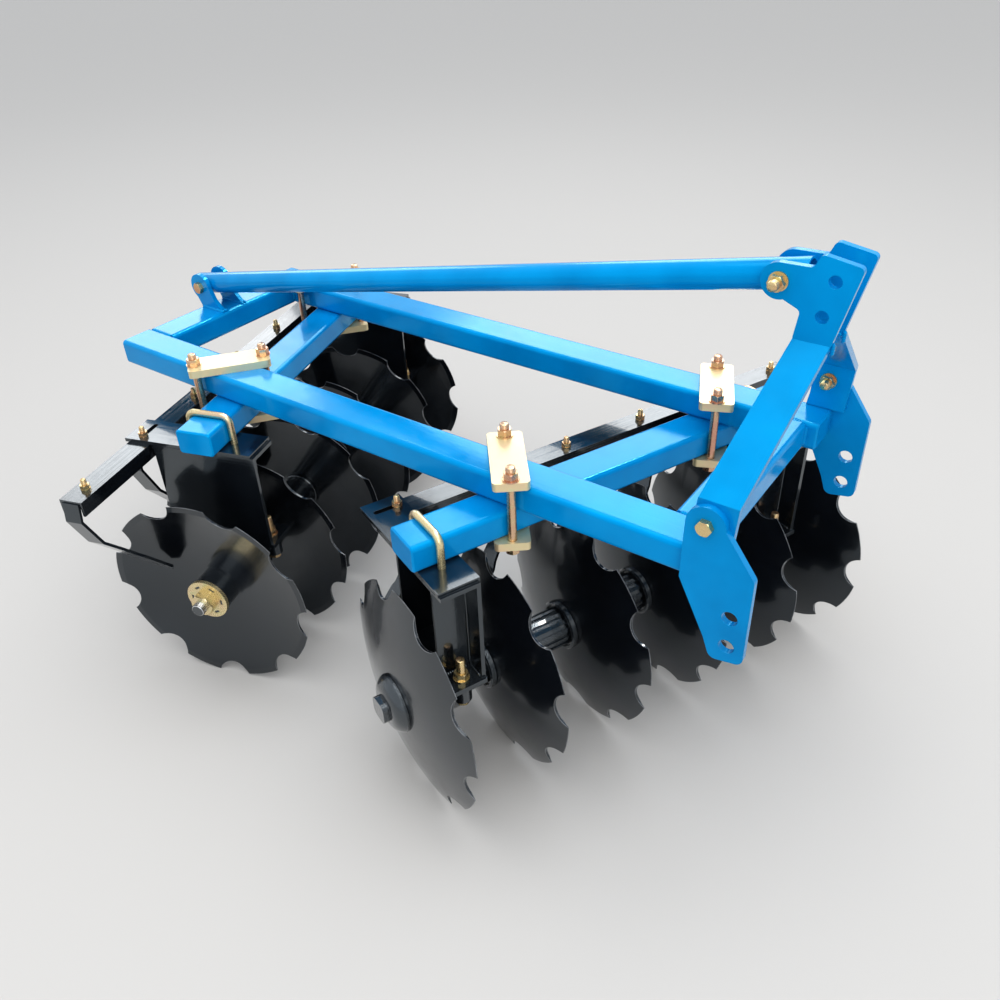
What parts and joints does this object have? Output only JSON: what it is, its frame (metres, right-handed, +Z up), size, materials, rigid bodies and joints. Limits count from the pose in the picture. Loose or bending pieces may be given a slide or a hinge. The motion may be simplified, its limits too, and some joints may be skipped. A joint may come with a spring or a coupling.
{
  "type": "mounted offset disc harrow",
  "caption": "Tractor-mounted offset disc harrow: two angled gangs of notched discs clamped under a blue tube frame, with scrapers, a hitch mast and a brace pipe.",
  "frame": {"origin": "on the floor under the middle of the whole harrow's box", "axes": "+X forwards to the hitch, +Y to the machine's left, +Z up"},
  "size_m": [1.6399, 1.2742, 1.0421],
  "materials": {
    "blue_paint": "gloss",
    "black_paint": "gloss",
    "disc_steel": "satin",
    "yellow_zinc": "satin"
  },
  "bodies": {
    "frame": {"right_rail": "blue_paint", "left_rail": "blue_paint", "front_cross_tube": "blue_paint", "rear_cross_tube": "blue_paint", "right_hitch_plate": "blue_paint", "left_hitch_plate": "blue_paint", "right_mast_strap": "blue_paint", "left_mast_strap": "blue_paint", "brace_pipe": "blue_paint", "brace_lugs": "blue_paint", "front_gang_beam": "blue_paint", "rear_gang_beam": "blue_paint", "mast_bolts": "yellow_zinc", "front_clamp_plates": "yellow_zinc", "front_clamp_bolts": "yellow_zinc", "front_u_bolts": "yellow_zinc", "front_bearing_bolts": "yellow_zinc", "front_scraper_bolts": "yellow_zinc", "rear_clamp_plates": "yellow_zinc", "rear_clamp_bolts": "yellow_zinc", "rear_u_bolts": "yellow_zinc", "rear_bearing_bolts": "yellow_zinc", "rear_scraper_bolts": "yellow_zinc", "front_right_hanger": "black_paint", "front_right_bearing": "black_paint", "front_left_hanger": "black_paint", "front_left_bearing": "black_paint", "rear_right_hanger": "black_paint", "rear_right_bearing": "black_paint", "rear_left_hanger": "black_paint", "rear_left_bearing": "black_paint", "front_scraper_bar": "black_paint", "front_scrapers": "black_paint", "rear_scraper_bar": "black_paint", "rear_scrapers": "black_paint"},
    "front_gang": {"front_discs": "disc_steel", "front_spools": "black_paint", "front_journals": "black_paint", "front_dome_washer": "black_paint", "front_axle": "black_paint", "front_end_washer": "yellow_zinc", "front_end_nut": "yellow_zinc"},
    "rear_gang": {"rear_discs": "disc_steel", "rear_spools": "black_paint", "rear_journals": "black_paint", "rear_dome_washer": "black_paint", "rear_axle": "black_paint", "rear_end_washer": "yellow_zinc", "rear_end_nut": "yellow_zinc"}
  },
  "joints": [
    {"name": "front_gang_spin", "type": "hinge", "parent": "frame", "child": "front_gang", "pos_m": [0.4253, 0.00436, 0.23], "axis": [0.3853, 0.9228, 0], "continuous": true},
    {"name": "rear_gang_spin", "type": "hinge", "parent": "frame", "child": "rear_gang", "pos_m": [-0.456, 0.00436, 0.23], "axis": [-0.3087, 0.9512, 0], "continuous": true}
  ]
}
